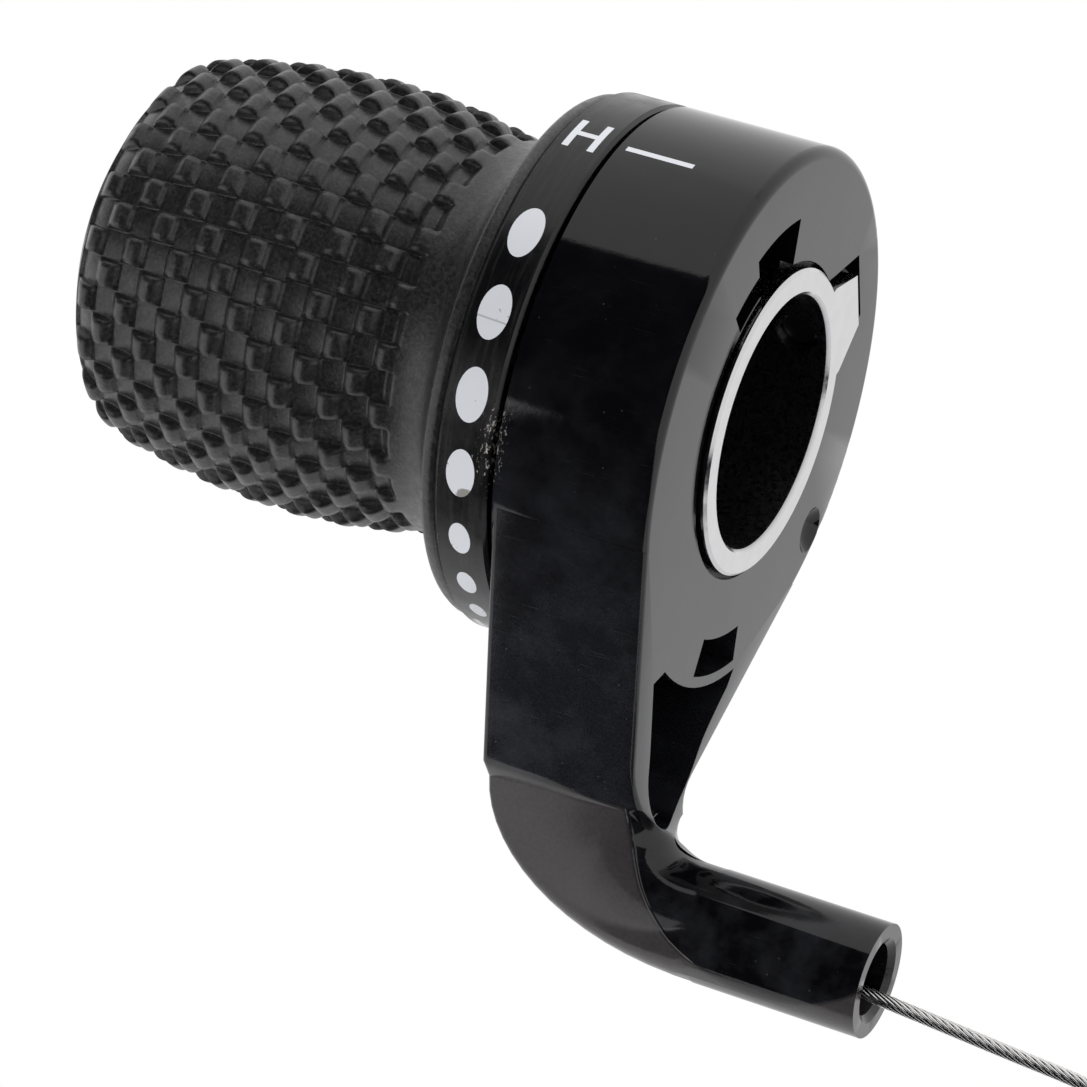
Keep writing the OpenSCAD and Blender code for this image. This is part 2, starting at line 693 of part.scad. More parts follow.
// Drum with the wire's groove, the click teeth, the seat of the nipple and slots for the dogs
module cable_drum() {
    w = drum_x1 - drum_x0;
    step = 360 / click_teeth;
    color("whitesmoke") difference() {
        union() {
            turned() polygon([[turn_r, drum_x0], [drum_r, drum_x0], [drum_r, groove_x - groove_w / 2],
                [floor_r, groove_x - groove_w / 2], [floor_r, groove_x + groove_w / 2],
                [drum_r, groove_x + groove_w / 2], [drum_r, drum_x1], [turn_r, drum_x1]]);
            along_bar(click_x0, click_x0 + click_l) difference() {
                polygon([for (i = [0:click_teeth - 1]) for (p = [[click_r - click_depth, 0], [click_r, 0.5]])
                    ring_point(p[0], (i + p[1]) * step)]);
                circle(r = turn_r + 2, $fn = fine);
            }
        }
        dogs(0.1);
        nipple_seat(slip, 1.5);
    }
}

// Nipple at the end of the wrapped wire, or its seat in the drum, open towards the wire
module nipple_seat(gap, open) {
    at_angle(wrap_a1) translate([groove_x, 0, nipple_r]) rotate([90, 0, 0]) translate([0, 0, -open])
        cylinder(d = nipple_d + 2 * gap, h = nipple_l + gap + open, $fn = small);
}

module cable_nipple() {
    color("silver") nipple_seat(0, 0);
}

module cable_wrap() {
    color("lightgray") rotate([0, 90, 0]) translate([0, 0, groove_x]) rotate([0, 0, 180 + wrap_a0 + 0.5])
        rotate_extrude(angle = wrap_a1 - wrap_a0 - 0.5, $fn = fine) translate([wind_r, 0])
            circle(r = wire_r, $fn = small);
}

// Rubber grip: radius over the crests along the bar, and the weave cut below it
weave_x1 = dial_x0 - collar_l;
weave_end = 0.85;
weave_x0 = grip_x0 + weave_end;
steps = 6;
crest_at = 0.42;
function bulge(x) = let (u = (weave_x1 - x) / (weave_x1 - grip_x0), d = u - crest_at,
        k = d < 0 ? (grip_r - waist_r) / pow(crest_at, 2) : (grip_r - tail_r) / pow(1 - crest_at, 2))
    grip_r - k * d * d;
function tail(x) = let (d = max(0, grip_x0 + tail_round - x))
    tail_round - sqrt(max(0, pow(tail_round, 2) - d * d));
// Height of the weave at a share of its pitch: a round crest over two fifths, a flatter low after it
function weave(f) = f < 0.5 ? -0.8 * (1 - pow(sin(180 * (f + 0.03) / 0.56), 0.7))
    : -0.9 - 0.1 * sin(180 * (f - 0.5) / 0.5);
// Lip and collar: [distance behind the dial ring, radius]
lip = [[0, lip_r - 0.5], [0.3, lip_r], [1.1, lip_r], [1.6, lip_r - 0.5], [2.1, lip_r - 1.9], [2.9, waist_r + 2],
    [4.2, waist_r + 0.6], [collar_l - 1.4, waist_r]];
// Sides of a strip, as shares of its width
strip_edges = [-0.41, 0.41];
// Depth of the plain end below the crests
plain_drop = 0.4;
tail_stops = [0.6, 0.25, 0];
rows = ridges * steps;
function grip_row(x, r) = [for (s = [0:strips - 1]) for (e = strip_edges) let (a = (s + e) * 360 / strips)
    [x, -r[s % 2] * sin(a), r[s % 2] * cos(a)]];
grip_rings = concat(
    [for (p = lip) grip_row(dial_x0 - p[0], [p[1], p[1]])],
    [for (i = [0:rows]) let (x = weave_x1 + (weave_x0 - weave_x1) * i / rows, f = (i % steps) / steps,
            g = ((i + steps / 2) % steps) / steps, fade = min(1, i / 2))
        let (r = bulge(x) - tail(x))
        grip_row(x, [r + weave_h * weave(f) * fade, r + weave_h * weave(g) * fade])],
    [for (q = tail_stops) let (x = grip_x0 + q * weave_end, r = bulge(x) - tail(x) - plain_drop)
        grip_row(x, [r, r])]);

module rubber_grip() {
    color("#2b2b2d") difference() {
        skin(grip_rings);
        barrel(core_r, grip_x0 - 1, dial_x0 + 1);
    }
}

housing();
pointer_mark();
clamp_sleeve();
clamp_screw();
friction_washer();
click_spring();
wire_guide();
wave_washer();
end_washer();
retaining_ring();
cable_lead();
cable_free();
cable_coil();
coil_tie();
cable_cap();
twist_tube();
dial_marks();
cable_drum();
cable_nipple();
cable_wrap();
rubber_grip();
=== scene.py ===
"""Left-hand twist-grip shifter: camera, cord, finishes, woven rubber, studio."""
import math

import bpy
import numpy as np
from mathutils import Matrix, Vector


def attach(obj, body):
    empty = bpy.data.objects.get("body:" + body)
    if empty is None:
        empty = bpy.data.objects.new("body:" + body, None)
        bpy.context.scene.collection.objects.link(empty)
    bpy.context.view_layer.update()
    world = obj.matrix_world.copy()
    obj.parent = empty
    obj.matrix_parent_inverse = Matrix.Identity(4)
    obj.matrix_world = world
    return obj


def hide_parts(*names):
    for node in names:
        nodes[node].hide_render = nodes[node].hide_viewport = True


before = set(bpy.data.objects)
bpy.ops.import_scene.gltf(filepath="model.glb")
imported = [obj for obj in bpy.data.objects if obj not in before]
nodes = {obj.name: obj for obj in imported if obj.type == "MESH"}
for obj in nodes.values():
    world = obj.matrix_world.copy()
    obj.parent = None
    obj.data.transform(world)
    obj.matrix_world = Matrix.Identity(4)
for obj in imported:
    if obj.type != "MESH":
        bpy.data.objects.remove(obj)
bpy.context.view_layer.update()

MM = 0.001

# Sizes that the part's source sets or works out, in millimetres

CORE_R = 14.5
LIP_R = 23.2
GRIP_R = 19.4
WAIST_R = 17.5
TAIL_R = 16.7
TAIL_ROUND = 3.2
DIAL_X0 = -20.1
GRIP_X0 = -59.9
COLLAR = 7.2
WEAVE_END = 0.85
STRIPS = 42
RIDGES = 7
WEAVE_H = 1.0
WIRE_R = 0.6
COIL = (47.0, -68.0)
CAP_L = 8.0
CAP_R = 0.95
ROUTE = [[12.5, -42], [15, -42.2], [18.5, -42.8], [22.5, -43.3], [28, -43.7], [35, -44.2],
         [42, -44.7], [47, -45.6], [52, -47.6], [56, -50.6], [59, -54.4], [60.6, -57.6]]

# Camera: places in metres, roll in degrees, lens and sensor in millimetres

EYE = Vector((0.147, -0.42531, 0.0))
AIM = Vector((-0.01696, 0.0, -0.01542))
ROLL = 16.336
LENS = 176.755
SENSOR = 36


def make_camera():
    data = bpy.data.cameras.new("camera")
    data.sensor_width = SENSOR
    data.lens = LENS
    data.clip_start = 0.01
    data.clip_end = 50
    camera = bpy.data.objects.new("camera", data)
    bpy.context.scene.collection.objects.link(camera)
    look = (AIM - EYE).normalized()
    level = look.cross(Vector((0, 0, 1))).normalized()
    up = level.cross(look)
    roll = math.radians(ROLL)
    right = level * math.cos(roll) + up * math.sin(roll)
    up = right.cross(look)
    turn = Matrix((right, up, -look)).transposed()
    camera.matrix_world = Matrix.Translation(EYE) @ turn.to_4x4()
    bpy.context.scene.camera = camera


make_camera()


# Meshes

def link(obj):
    bpy.context.scene.collection.objects.link(obj)
    return obj


def mesh_object(name, points, faces, smooth=True):
    """An object of points in millimetres"""
    mesh = bpy.data.meshes.new(name)
    mesh.from_pydata((np.asarray(points, float) * MM).tolist(), [], faces)
    mesh.update()
    mesh.polygons.foreach_set("use_smooth", [smooth] * len(mesh.polygons))
    return link(bpy.data.objects.new(name, mesh))


def grid_faces(rows, cols, wrap_rows=False):
    """Quads of a grid of rows x cols points, closed round the columns"""
    faces = []
    for i in range(rows if wrap_rows else rows - 1):
        here = i * cols
        above = (i + 1) % rows * cols
        for j in range(cols):
            k = (j + 1) % cols
            faces.append((here + j, above + j, above + k, here + k))
    return faces


def catmull(points, step):
    """A smooth line through the points, with its own points about a step apart"""
    points = np.asarray(points, float)
    longer = np.vstack([2 * points[0] - points[1], points, 2 * points[-1] - points[-2]])
    line = []
    for i in range(1, len(longer) - 2):
        a, b, c, d = longer[i - 1:i + 3]
        n = max(2, int(np.linalg.norm(c - b) / step))
        for t in np.arange(n) / n:
            line.append(0.5 * (2 * b + (c - a) * t + (2 * a - 5 * b + 4 * c - d) * t * t
                               + (3 * b - a - 3 * c + d) * t ** 3))
    line.append(points[-1])
    return np.array(line)


def distances(line):
    """How far along the line each of its points lies"""
    return np.r_[0, np.cumsum(np.linalg.norm(np.diff(line, axis=0), axis=1))]


# Cord: the free wire, wound into a tied coil outside the picture

STRANDS = 12
# Radius at four places across each strand, the groove between two strands first
STRAND_R = (WIRE_R - 0.14, WIRE_R - 0.021, WIRE_R, WIRE_R - 0.021)
LAY = 10.0
# How far the strands twist and how far the line has its fine step: both reach just into the coil
TWISTED_TO = 68.0
FINE_TO = 70.0
FINE_STEP = 0.3
COARSE_STEP = 1.0

# Coil: places across it are in Y, and its turns are counted from where the wire goes in
PITCH = 1.24
LAYER_R = [13.1 + PITCH * layer for layer in range(4)]
SIDE_LO = -1.5 * PITCH
SIDE_HI = 2.5 * PITCH
ENTRY_Y = SIDE_LO - PITCH
ENTRY_DEG = 37.4
ENTRY_TURNS = 0.9
CLIMB_TURNS = 0.3
LAST_TURNS = 3.4
POINTS_A_TURN = 48


def coil_line():
    """Goes in along one side, winds out in four layers and leaves at the foot"""
    # A key is turns so far, radius and place across
    keys = [(0.0, 17.1, -1.9), (0.1, 16.9, ENTRY_Y)]
    start = ENTRY_TURNS
    side = ENTRY_Y
    for r, other_side in zip(LAYER_R, (SIDE_HI, SIDE_LO, SIDE_HI)):
        keys.append((start, r, side))
        end = start + abs(other_side - side) / PITCH
        keys.append((end, r, other_side))
        start = end + CLIMB_TURNS
        side = other_side
    foot = (ENTRY_DEG + 90) / 360
    last = math.floor(start + LAST_TURNS - foot) + foot
    keys.append((start, LAYER_R[3], side))
    keys.append((last, LAYER_R[3], side - PITCH * (last - start)))
    keys = np.array(keys)
    turns = np.linspace(0, last, int(last * POINTS_A_TURN))
    r = np.interp(turns, keys[:, 0], keys[:, 1])
    y = np.interp(turns, keys[:, 0], keys[:, 2])
    angle = np.radians(ENTRY_DEG - 360 * turns)
    return np.stack([COIL[0] + r * np.cos(angle), y, COIL[1] + r * np.sin(angle)], 1)


def wire_line():
    """The route, the coil in place of the route's last point, and a short straight end"""
    lead = [[x, 0.0, z] for x, z in ROUTE[:-1]]
    # The lead leaves its plane just before the coil's near side
    lead[-1][1] = -0.9
    wound = coil_line()
    end = wound[-1]
    tail = np.vstack([end, end + [-3.5, 0, 0.0], end + [-8.0, 0, 0.1]])
    run = catmull(np.vstack([lead, wound[:3]]), FINE_STEP)
    return np.vstack([run[:-1], wound[3:], catmull(tail, 0.5)[1:]])


def strand_tube(name, line):
    """Wire of round strands that turn as they go along the line, and run straight in the coil"""
    n = len(line)
    tangent = np.gradient(line, axis=0)
    tangent /= np.linalg.norm(tangent, axis=1)[:, None]
    side = np.zeros((n, 3))
    v = np.cross(tangent[0], [0, 1, 0])
    for i in range(n):
        v = v - tangent[i] * (v @ tangent[i])
        v /= np.linalg.norm(v)
        side[i] = v
    across = np.cross(tangent, side)
    radius = np.tile(STRAND_R, STRANDS)
    cols = len(radius)
    around = np.arange(cols) / cols * 2 * math.pi
    twist = np.minimum(distances(line), TWISTED_TO) / LAY * 2 * math.pi
    angle = around[None, :] + twist[:, None]
    rings = (line[:, None, :] + (radius * np.cos(angle))[..., None] * side[:, None, :]
             + (radius * np.sin(angle))[..., None] * across[:, None, :])
    faces = grid_faces(n, cols)
    faces.append(tuple(range(cols)))
    faces.append(tuple((n - 1) * cols + j for j in range(cols - 1, -1, -1)))
    return mesh_object(name, rings.reshape(-1, 3), faces)


def make_cord():
    line = wire_line()
    along = distances(line)
    stops = np.r_[np.arange(0, FINE_TO, FINE_STEP), np.arange(FINE_TO, along[-1], COARSE_STEP), along[-1]]
    line = np.stack([np.interp(stops, along, line[:, k]) for k in range(3)], 1)
    wire = strand_tube("inner_wire", line)
    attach(wire, "body")
    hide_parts("cable_free", "cable_coil")
    return wire, line


wire, wire_path = make_cord()

CAP_DOME = 0.8
CRIMPS = (2.6, 4.6)
CRIMP_W = 0.45


def make_cap(end):
    """Crimped cap over the wire's end: a thin tube with a domed end and two flat crimps"""
    straight = CAP_L - CAP_DOME
    # Place along the cap, half its width and half its height there
    outline = []
    for x in np.r_[np.linspace(0, 1.6, 6), np.linspace(1.9, 6.4, 24), np.linspace(6.6, straight, 4)]:
        pinch = sum(math.exp(-((x - crimp) / CRIMP_W) ** 2) for crimp in CRIMPS)
        outline.append((x, CAP_R * (1 + 0.12 * pinch), CAP_R * (1 - 0.3 * pinch)))
    for t in np.arange(1, 6) / 6 * math.pi / 2:
        outline.append((straight + CAP_DOME * math.sin(t), CAP_R * math.cos(t), CAP_R * math.cos(t)))
    rows = len(outline)
    cols = 32
    around = np.arange(cols) / cols * 2 * math.pi
    points = [[-x, wide * math.cos(a), high * math.sin(a)] for x, wide, high in outline for a in around]
    faces = grid_faces(rows, cols)
    tip = len(points)
    points.append([-CAP_L, 0, 0])
    faces += [((rows - 1) * cols + (j + 1) % cols, (rows - 1) * cols + j, tip) for j in range(cols)]
    faces.append(tuple(range(cols)))
    cap = mesh_object("wire_cap", np.array(points) + end, faces)
    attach(cap, "body")
    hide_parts("cable_cap")
    return cap


cap = make_cap(wire_path[-1] + [1.0, 0, 0])


# Materials

class Shade:
    """One procedural material, built a node at a time; lengths in its textures are millimetres"""

    def __init__(self, name, color, rough, metal=0.0, ior=1.5):
        self.material = bpy.data.materials.new(name)
        self.material.use_nodes = True
        self.tree = self.material.node_tree
        self.shader = self.tree.nodes["Principled BSDF"]
        self.shader.inputs["Base Color"].default_value = (*color, 1)
        self.shader.inputs["Roughness"].default_value = rough
        self.shader.inputs["Metallic"].default_value = metal
        self.shader.inputs["IOR"].default_value = ior
        self.material.diffuse_color = (*color, 1)
        self.places = None

    def node(self, kind, **values):
        node = self.tree.nodes.new(kind)
        for key, value in values.items():
            setattr(node, key, value)
        return node

    def put(self, socket, value):
        """Another node's output or a constant into a socket"""
        if hasattr(value, "is_output"):
            self.tree.links.new(value, socket)
        else:
            socket.default_value = value

    def coords(self):
        if self.places is None:
            scale = self.node("ShaderNodeVectorMath", operation="SCALE")
            self.put(scale.inputs[0], self.node("ShaderNodeTexCoord").outputs["Object"])
            scale.inputs["Scale"].default_value = 1 / MM
            self.places = scale.outputs[0]
        return self.places

    def map(self, turn=(0, 0, 0), scale=(1, 1, 1), move=(0, 0, 0)):
        node = self.node("ShaderNodeMapping")
        self.put(node.inputs["Vector"], self.coords())
        node.inputs["Rotation"].default_value = [math.radians(t) for t in turn]
        node.inputs["Scale"].default_value = scale
        node.inputs["Location"].default_value = move
        return node.outputs[0]

    def noise(self, scale, detail=2.0, rough=0.5, vector=None):
        node = self.node("ShaderNodeTexNoise")
        self.put(node.inputs["Vector"], vector or self.coords())
        node.inputs["Scale"].default_value = scale
        node.inputs["Detail"].default_value = detail
        node.inputs["Roughness"].default_value = rough
        return node.outputs["Fac"]

    def cells(self, scale):
        """Distance to the nearest of scattered points"""
        node = self.node("ShaderNodeTexVoronoi")
        self.put(node.inputs["Vector"], self.coords())
        node.inputs["Scale"].default_value = scale
        return node.outputs["Distance"]

    def range(self, value, lo, hi, out_lo=0.0, out_hi=1.0):
        """lo to hi becomes out_lo to out_hi, held at both ends"""
        node = self.node("ShaderNodeMapRange")
        self.put(node.inputs["Value"], value)
        for key, end in zip(("From Min", "From Max", "To Min", "To Max"), (lo, hi, out_lo, out_hi)):
            node.inputs[key].default_value = end
        return node.outputs["Result"]

    def math(self, operation, a, b=0.0, clamp=False):
        node = self.node("ShaderNodeMath", operation=operation, use_clamp=clamp)
        self.put(node.inputs[0], a)
        self.put(node.inputs[1], b)
        return node.outputs[0]

    def chain(self, operation, values):
        result = values[0]
        for value in values[1:]:
            result = self.math(operation, result, value)
        return result

    def times(self, *values):
        return self.chain("MULTIPLY", values)

    def plus(self, *values):
        return self.chain("ADD", values)

    def most(self, *values):
        return self.chain("MAXIMUM", values)

    def minus(self, a, b):
        return self.math("SUBTRACT", a, b)

    def axis(self, name):
        node = self.node("ShaderNodeSeparateXYZ")
        self.put(node.inputs[0], self.coords())
        return node.outputs[name]

    def radius(self, axes, middle=(0, 0, 0)):
        """Distance from a middle, counted only along the axes that are 1"""
        node = self.node("ShaderNodeVectorMath", operation="LENGTH")
        self.put(node.inputs[0], self.map(scale=axes, move=[-place for place in middle]))
        return node.outputs["Value"]

    def near(self, point, radius, ragged):
        """Mask of a ragged spot round a point"""
        node = self.node("ShaderNodeVectorMath", operation="DISTANCE")
        self.put(node.inputs[0], self.coords())
        node.inputs[1].default_value = point
        edge = self.plus(node.outputs["Value"], self.times(self.noise(2.2, 3), 2 * ragged))
        return self.range(edge, radius + ragged, radius + ragged - 0.12)

    def line(self, along, across, place, slope, width):
        """Mask of a fine straight line"""
        at = self.plus(self.axis(across), self.times(self.axis(along), slope))
        return self.range(self.math("ABSOLUTE", self.minus(at, place)), width, width * 0.4)

    def scratches(self, degrees, width, length, least, move):
        """Streaks lying at an angle on the side that faces -Y"""
        stretch = (1 / length, 1 / length, 1 / width)
        places = self.map(turn=(0, degrees, 0), scale=stretch, move=(move, 0, move))
        return self.range(self.noise(1.0, 3.0, 0.6, places), least, least + 0.06)

    def rubbed(self, across, least):
        """Mask of bright flecks at the gap between dial and housing, over a stretch of X"""
        z = self.axis("Z")
        place = self.times(self.range(z, -3.0, -6.0), self.range(z, -13.0, -10.0),
                           self.range(self.axis("X"), *across), self.range(self.axis("Y"), -10.0, -12.0))
        speckle = self.noise(1.4, 4, 0.7, self.map(scale=(3.4, 1.5, 1.5)))
        fading = self.range(place, 0, 1, 0.16, 0.0)
        flecks = self.range(self.minus(speckle, fading), least, least + 0.05)
        return self.times(flecks, self.range(place, 0.02, 0.2))

    def mix(self, share, a, b):
        """Colour a where the share is 0 and colour b where it is 1"""
        node = self.node("ShaderNodeMix", data_type="RGBA")
        self.put(node.inputs["Factor"], share)
        self.put(node.inputs["A"], (*a, 1) if isinstance(a, tuple) else a)
        self.put(node.inputs["B"], (*b, 1) if isinstance(b, tuple) else b)
        return node.outputs["Result"]

    def color(self, value):
        self.put(self.shader.inputs["Base Color"], value)

    def rough(self, value):
        self.put(self.shader.inputs["Roughness"], value)

    def bump(self, height, distance, strength=1.0):
        """Relief in millimetres, laid over the relief that is there"""
        node = self.node("ShaderNodeBump")
        node.inputs["Strength"].default_value = strength
        node.inputs["Distance"].default_value = distance * MM
        self.put(node.inputs["Height"], height)
        normal = self.shader.inputs["Normal"]
        if normal.links:
            self.put(node.inputs["Normal"], normal.links[0].from_socket)
        self.put(normal, node.outputs[0])


# Mould line round the elbow's front: its middle and radius in X and Z
SEAM_MIDDLE = (13.4, 0, -31.3)
SEAM_R = 14.7
# Height of the crease where the housing's flat side ends
CREASE_Z = -34.3
# Degrees, width, length, least noise that shows, and a shift that keeps the sets apart
SCRATCHES = ((38, 0.07, 5.0, 0.70, 0), (-24, 0.06, 6.0, 0.71, 11),
             (62, 0.07, 4.0, 0.71, 23), (8, 0.06, 8.0, 0.73, 37))
# Middle and radius of each chip in the printed marks
CHIPS = (((-17.0, -19.6, -12.9), 1.0), ((-18.9, -21.2, -10.7), 0.15), ((-16.3, -23.6, 2.2), 0.12))


def plastic_housing():
    """Glossy black moulding: haze, scratches, dust, specks, a mould line and a painted reflection on the
    elbow, a pale grey sheen
    """
    mat = Shade("black_plastic_glossy", (0.0025, 0.0025, 0.0029), 0.07, ior=1.46)
    z = mat.axis("Z")
    haze = mat.times(mat.range(mat.noise(0.2, 4, 0.62), 0.42, 0.72), mat.range(z, 8, -30, 0.15, 1.0))
    marks = mat.most(*[mat.scratches(*each) for each in SCRATCHES])
    marks = mat.times(marks, mat.range(z, 16, -24, 0.12, 1.0))
    specks = mat.times(mat.range(mat.cells(0.9), 0.085, 0.05), mat.range(mat.noise(0.5, 1), 0.5, 0.58))
    flat_side = mat.range(z, CREASE_Z - 0.3, CREASE_Z + 0.3)
    dust = mat.times(mat.range(z, -4, -24, 0.0, 0.36), flat_side, mat.noise(6.0, 2))
    worn = mat.plus(mat.times(haze, 0.26), mat.times(marks, 0.8), dust, mat.times(specks, 0.6))
    past_seam = mat.minus(mat.radius((1, 0, 1), SEAM_MIDDLE), SEAM_R)
    below_crease = mat.range(z, CREASE_Z, CREASE_Z - 0.4)
    # Painted reflection: pale grey painted on the elbow below the crease and past the mould line, where
    # the down-tilted surface reflects light; it is also rougher there
    grain = mat.range(mat.noise(3.2, 3, 0.7), 0.3, 0.7, 0.5, 0.72)
    painted_elbow_sheen = mat.times(mat.range(past_seam, 0.0, 0.4), below_crease, grain)
    black = mat.mix(worn, (0.0022, 0.0022, 0.0028), (0.05, 0.052, 0.062))
    black = mat.mix(painted_elbow_sheen, black, (0.062, 0.056, 0.057))
    mat.color(mat.mix(mat.rubbed((-13.3, -14.4), 0.55), black, (0.2, 0.195, 0.185)))
    mat.rough(mat.range(mat.math("MAXIMUM", worn, painted_elbow_sheen, clamp=True), 0, 1, 0.06, 0.26))
    seam = mat.range(mat.math("ABSOLUTE", past_seam), 0.16, 0.04)
    mat.bump(mat.times(below_crease, mat.range(mat.axis("X"), 8.0, 7.0), seam), 0.08)
    mat.bump(mat.noise(1.1, 3, 0.55), 0.012, 0.3)
    mat.bump(mat.noise(0.14, 1), 0.06, 0.2)
    mat.bump(mat.noise(6.0, 2, 0.6), 0.004, 0.5)
    return mat.material


def plastic_dial():
    """Black ring with streaks round it, rubbed bright where it runs in the housing"""
    mat = Shade("black_plastic_dial", (0.004, 0.004, 0.0045), 0.24, ior=1.46)
    streak = mat.range(mat.noise(1.0, 4, 0.6, mat.map(scale=(2.2, 0.16, 0.16))), 0.5, 0.78)
    rubbed = mat.rubbed((-17.3, -15.5), 0.56)
    black = mat.mix(streak, (0.0035, 0.0035, 0.004), (0.017, 0.017, 0.018))
    mat.color(mat.mix(rubbed, black, (0.42, 0.4, 0.37)))
    mat.rough(mat.plus(mat.range(mat.noise(0.5, 3), 0.3, 0.7, 0.16, 0.32), mat.times(rubbed, 0.3)))
    mat.bump(mat.noise(3.0, 3, 0.6), 0.010, 0.5)
    return mat.material


def rubber():
    """Grainy dark rubber with a mould line along the grip"""
    mat = Shade("black_rubber", (0.011, 0.011, 0.0115), 0.34, ior=1.58)
    grain = mat.noise(3.4, 3, 0.75)
    base = mat.mix(mat.noise(0.35, 3), (0.006, 0.006, 0.0064), (0.011, 0.011, 0.0115))
    mat.color(mat.mix(mat.range(grain, 0.42, 0.68), base, (0.032, 0.031, 0.032)))
    mat.rough(mat.range(mat.noise(1.5, 2), 0.3, 0.7, 0.27, 0.42))
    mat.bump(grain, 0.035, 0.9)
    mat.bump(mat.line("Y", "Z", 0.0, -0.32, 0.16), 0.12, -0.8)
    return mat.material


def paint():
    """Printed marks, with a scratch over the second oval and a chip in the fourth"""
    mat = Shade("white_paint", (0.6, 0.62, 0.66), 0.35)
    thin = mat.range(mat.noise(1.6, 4, 0.65), 0.68, 0.72)
    scratch = mat.times(mat.line("X", "Z", 0.75, 0.05, 0.1), mat.range(mat.axis("Z"), 4.0, 3.9), 0.6)
    chips = [mat.near(spot, radius, 0.25) for spot, radius in CHIPS]
    worn = mat.most(thin, *chips, scratch)
    mat.color(mat.mix(worn, (0.63, 0.645, 0.68), (0.24, 0.235, 0.215)))
    mat.bump(mat.noise(4.0, 2), 0.01, 0.4)
    mat.bump(worn, 0.02, -0.5)
    return mat.material


def metal(name, color, rough, brush=0.0):
    """Metal with fine grain, drawn out along X where it is brushed"""
    mat = Shade(name, color, rough, metal=1.0)
    grain = mat.noise(2.5, 3, 0.6, mat.map(scale=(0.3, 3.0, 3.0)) if brush else None)
    darker = tuple(c * 0.9 for c in color)
    lighter = tuple(min(1, c * 1.06) for c in color)
    mat.color(mat.mix(mat.noise(0.5, 3), darker, lighter))
    mat.rough(mat.range(grain, 0.3, 0.7, rough - 0.08, rough + 0.08))
    mat.bump(grain, 0.006, 0.35 + brush)
    return mat.material


def sleeve_steel():
    """Bright turned steel, with shade painted into its bore as a dull dark colour"""
    mat = Shade("polished_steel", (0.62, 0.615, 0.625), 0.16, metal=1.0)
    # Painted shade: the bore is coloured dark grey and made rougher, standing in for the shade deep inside
    # it
    painted_bore_shade = mat.times(mat.range(mat.radius((0, 1, 1)), 11.5, 11.35), mat.range(mat.axis("X"), -0.1, -0.5))
    grain = mat.noise(2.5, 3, 0.6)
    bright = mat.mix(mat.noise(0.5, 3), (0.56, 0.555, 0.565), (0.66, 0.655, 0.66))
    mat.color(mat.mix(painted_bore_shade, bright, (0.16, 0.16, 0.17)))
    mat.rough(mat.plus(mat.range(grain, 0.3, 0.7, 0.09, 0.24), mat.times(painted_bore_shade, 0.12)))
    mat.bump(grain, 0.006, 0.35)
    return mat.material


def moulded(name, color, rough):
    """Plain moulded plastic"""
    mat = Shade(name, color, rough)
    mat.color(mat.mix(mat.noise(0.6, 3), tuple(c * 0.88 for c in color), color))
    mat.rough(mat.range(mat.noise(1.2, 2), 0.3, 0.7, rough - 0.06, rough + 0.06))
    mat.bump(mat.noise(3.0, 3), 0.01, 0.4)
    return mat.material


HOUSING = plastic_housing()
DIAL = plastic_dial()
RUBBER = rubber()
PAINT = paint()
STEEL = sleeve_steel()
SPRING = metal("spring_steel", (0.36, 0.37, 0.40), 0.3)
SCREW = metal("blackened_steel", (0.10, 0.10, 0.105), 0.36)
WIRE = metal("drawn_wire", (0.86, 0.85, 0.84), 0.24, brush=0.3)
ALLOY = metal("soft_aluminium", (0.72, 0.72, 0.73), 0.34)
LINER = moulded("liner_plastic", (0.42, 0.41, 0.37), 0.4)
DRUM = moulded("drum_plastic", (0.5, 0.5, 0.49), 0.42)
TIE = moulded("tie_plastic", (0.012, 0.012, 0.013), 0.4)

FINISH_OF = {
    "housing": HOUSING, "pointer_mark": PAINT, "clamp_sleeve": STEEL, "clamp_screw": SCREW,
    "friction_washer": STEEL, "click_spring": SPRING, "wire_guide": LINER, "wave_washer": SPRING,
    "end_washer": STEEL, "retaining_ring": SPRING, "cable_lead": WIRE, "cable_free": WIRE,
    "cable_coil": WIRE, "coil_tie": TIE, "cable_cap": ALLOY, "twist_tube": DIAL, "dial_marks": PAINT,
    "cable_drum": DRUM, "cable_nipple": ALLOY, "cable_wrap": WIRE, "rubber_grip": RUBBER}


def finish(obj, material):
    obj.data.materials.clear()
    obj.data.materials.append(material)


def smoothing(name, degrees):
    """Node group that joins a solid's triangles and shades it smooth over edges under an angle"""
    tree = bpy.data.node_groups.new(name, "GeometryNodeTree")
    for way in ("INPUT", "OUTPUT"):
        tree.interface.new_socket("Geometry", in_out=way, socket_type="NodeSocketGeometry")
    plain = tree.nodes.new("GeometryNodeRemoveAttribute")
    plain.inputs["Name"].default_value = "custom_normal"
    joined = tree.nodes.new("GeometryNodeMergeByDistance")
    joined.inputs["Distance"].default_value = 0.001 * MM
    faces = tree.nodes.new("GeometryNodeSetShadeSmooth")
    faces.domain = "FACE"
    edges = tree.nodes.new("GeometryNodeSetShadeSmooth")
    edges.domain = "EDGE"
    angle = tree.nodes.new("GeometryNodeInputMeshEdgeAngle")
    below = tree.nodes.new("FunctionNodeCompare")
    below.operation = "LESS_THAN"
    below.inputs["B"].default_value = math.radians(degrees)
    tree.links.new(angle.outputs["Unsigned Angle"], below.inputs["A"])
    tree.links.new(below.outputs["Result"], edges.inputs["Shade Smooth"])
    last = tree.nodes.new("NodeGroupInput")
    for node in (plain, joined, faces, edges):
        tree.links.new(last.outputs[0], node.inputs["Geometry"])
        last = node
    tree.links.new(last.outputs[0], tree.nodes.new("NodeGroupOutput").inputs[0])
    return tree


SMOOTHING = smoothing("smooth_under_angle", 28)


